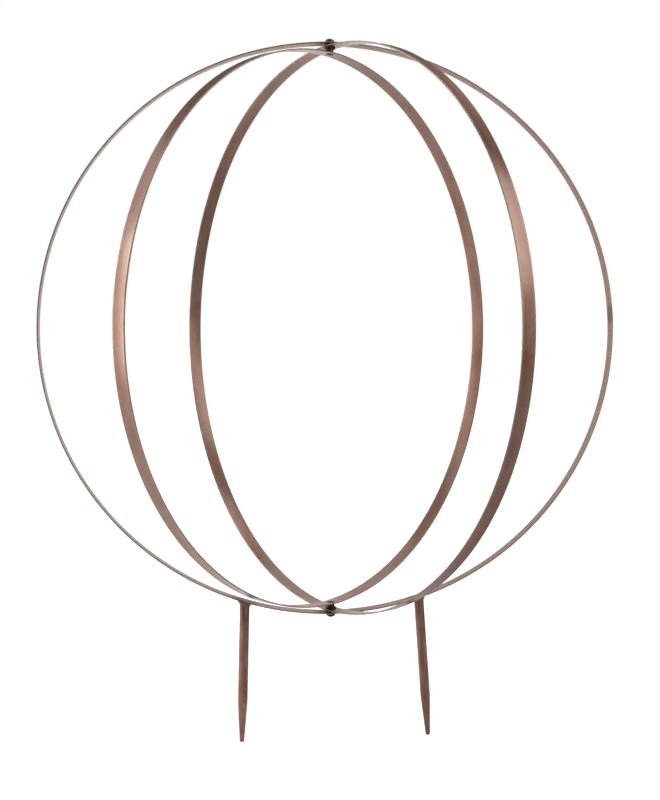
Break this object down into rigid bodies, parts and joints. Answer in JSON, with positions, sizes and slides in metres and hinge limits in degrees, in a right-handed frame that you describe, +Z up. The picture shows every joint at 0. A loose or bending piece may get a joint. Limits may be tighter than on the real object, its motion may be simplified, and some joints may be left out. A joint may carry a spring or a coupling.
{
  "type": "topiary frame",
  "caption": "Folding globe topiary frame: nested flat-strip hoops riveted on one upright axis, over two tapered ground stakes.",
  "frame": {"origin": "on the hoops' upright axis, at the soil surface with the stakes pushed fully in, just under the bottom rivet's head", "axes": "+Z up along the hoops' common axis; the outer hoop and both stakes lie in the XZ plane, +X towards the stake with the larger splay"},
  "size_m": [0.618, 0.5296, 0.7539],
  "materials": {
    "hoop_finish": "antique copper, satin, faintly brushed along the strip",
    "stake_finish": "darker antique copper, satin",
    "weld_finish": "burnt reddish brown weld bead",
    "pivot_finish": "near-black antiqued steel"
  },
  "bodies": {
    "outer_frame": {"outer_hoop": "hoop_finish", "outer_hoop_seam_weld": "weld_finish", "left_stake": "stake_finish", "right_stake": "stake_finish", "left_stake_weld": "weld_finish", "right_stake_weld": "weld_finish", "top_rivet": "pivot_finish", "bottom_rivet": "pivot_finish", "top_outer_washer": "pivot_finish", "bottom_outer_washer": "pivot_finish", "top_inner_washer": "pivot_finish", "bottom_inner_washer": "pivot_finish", "top_spacer_sleeve": "pivot_finish", "bottom_spacer_sleeve": "pivot_finish"},
    "middle_ring": {"middle_hoop": "hoop_finish", "middle_hoop_seam_weld": "weld_finish"},
    "inner_ring": {"inner_hoop": "hoop_finish", "inner_hoop_seam_weld": "weld_finish"}
  },
  "joints": [
    {"name": "middle_hoop_swing", "type": "hinge", "parent": "outer_frame", "child": "middle_ring", "pos_m": [0, 0, 0.3096], "axis": [0, 0, 1], "continuous": true},
    {"name": "inner_hoop_swing", "type": "hinge", "parent": "outer_frame", "child": "inner_ring", "pos_m": [0, 0, 0.3096], "axis": [0, 0, 1], "continuous": true}
  ]
}
